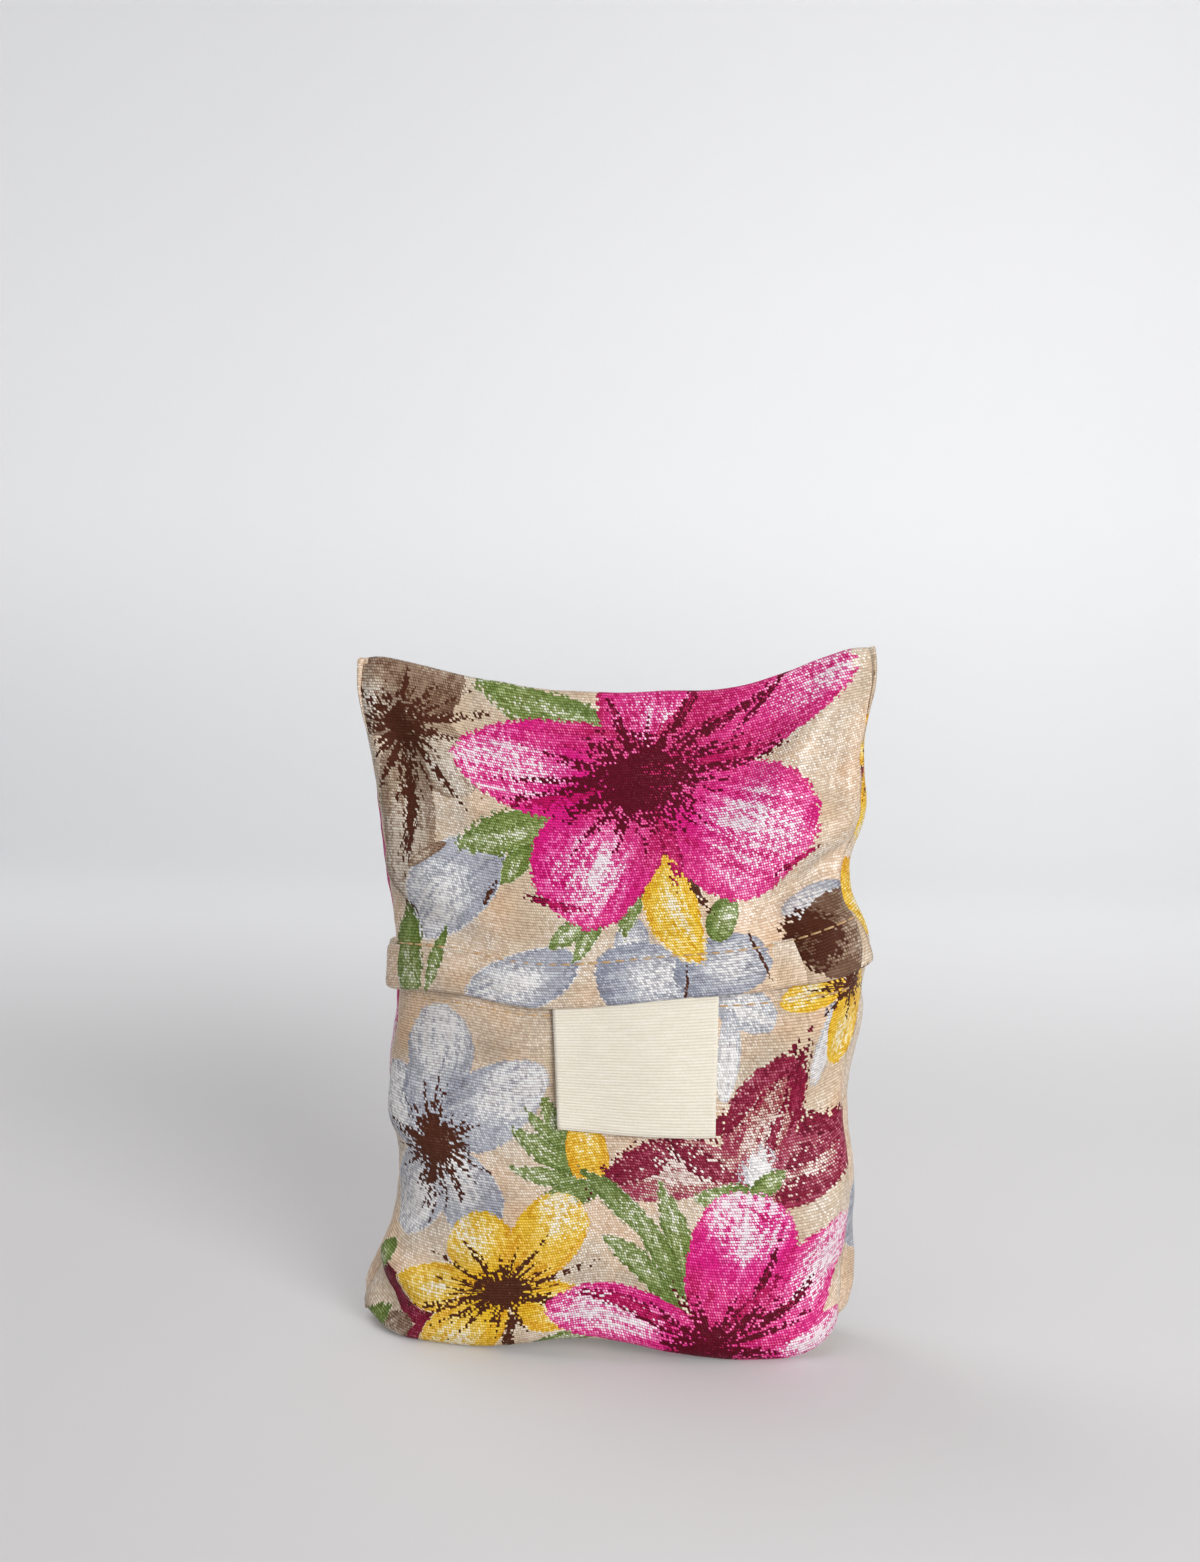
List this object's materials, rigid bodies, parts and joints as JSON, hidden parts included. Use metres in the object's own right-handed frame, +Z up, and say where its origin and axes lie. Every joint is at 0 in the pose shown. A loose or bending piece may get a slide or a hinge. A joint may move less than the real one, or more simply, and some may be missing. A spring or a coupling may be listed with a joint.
{
  "type": "folded shopping bag in a pouch",
  "caption": "Reusable shopping bag folded small inside its own printed satin envelope pouch, with a stitched hood over the mouth and a tape label hanging from the hem.",
  "frame": {"origin": "on the floor, under the middle of the pouch's box", "axes": "+Z up from the flat bottom to the hood's top edge, front with the label towards -Y, +X to the right seen from the front"},
  "size_m": [0.111, 0.0418, 0.15],
  "materials": {
    "printed_satin": "printed floral satin, soft shine",
    "bag_satin": "satin, folded in many layers",
    "cotton_tape": "ribbed cotton tape, matt",
    "sewing_thread": "twisted thread"
  },
  "bodies": {
    "root": {"pouch_cloth": "printed_satin", "folded_bag": "bag_satin", "bag_handle_left": "bag_satin", "bag_handle_right": "bag_satin", "label": "cotton_tape", "hood_hem_thread": "sewing_thread", "mouth_hem_thread": "sewing_thread", "left_seam_thread": "sewing_thread", "right_seam_thread": "sewing_thread"}
  },
  "joints": []
}
